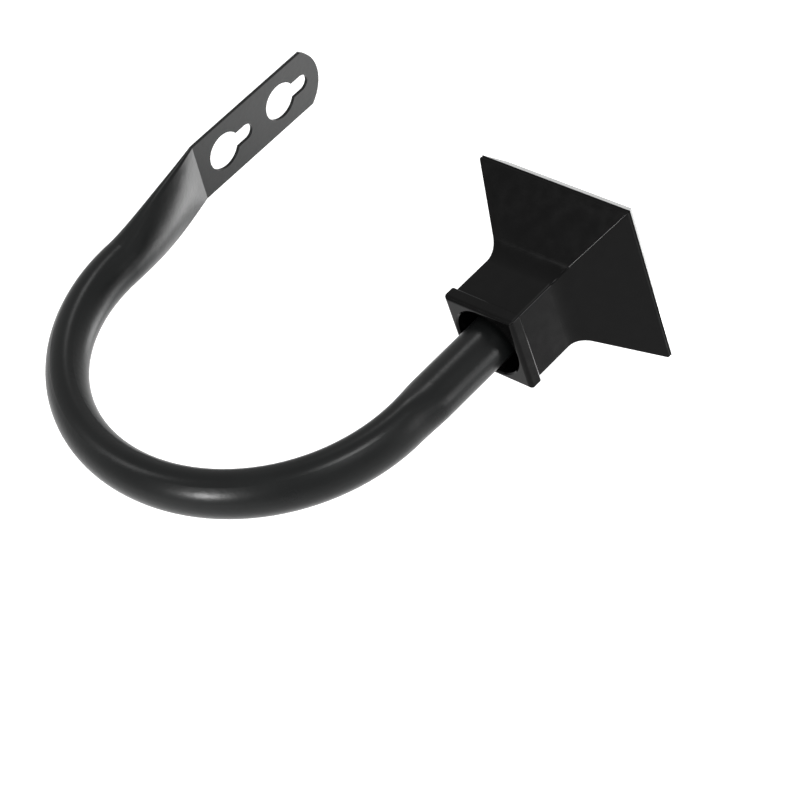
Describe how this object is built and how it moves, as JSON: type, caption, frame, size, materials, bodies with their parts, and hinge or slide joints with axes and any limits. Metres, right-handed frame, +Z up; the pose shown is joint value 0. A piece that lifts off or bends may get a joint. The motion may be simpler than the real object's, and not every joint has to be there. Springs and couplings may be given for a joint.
{
  "type": "curtain holdback",
  "caption": "U-shaped tube holdback that keeps a drawn curtain beside the window, with a flattened keyhole tab for the wall and a square trumpet finial on the open end.",
  "frame": {"origin": "on the back of the flattened tab, where it meets the wall, midway between the centres of its two round holes", "axes": "The wall is the plane y = 0 and +Y points into it, so the part is on the -Y side. +Z is up. +X runs along both arms, from the closed end of the U to its open end. The curtain hangs down through the U along Z."},
  "size_m": [0.1734, 0.1689, 0.0698],
  "materials": {
    "black_metal": "satin",
    "black_plastic": "gloss",
    "plain_steel": "zinc plated"
  },
  "bodies": {
    "root": {"arm_tube": "black_metal", "tube_plug": "plain_steel", "finial_shell": "black_plastic", "finial_cap": "black_plastic", "finial_screw": "plain_steel"}
  },
  "joints": []
}
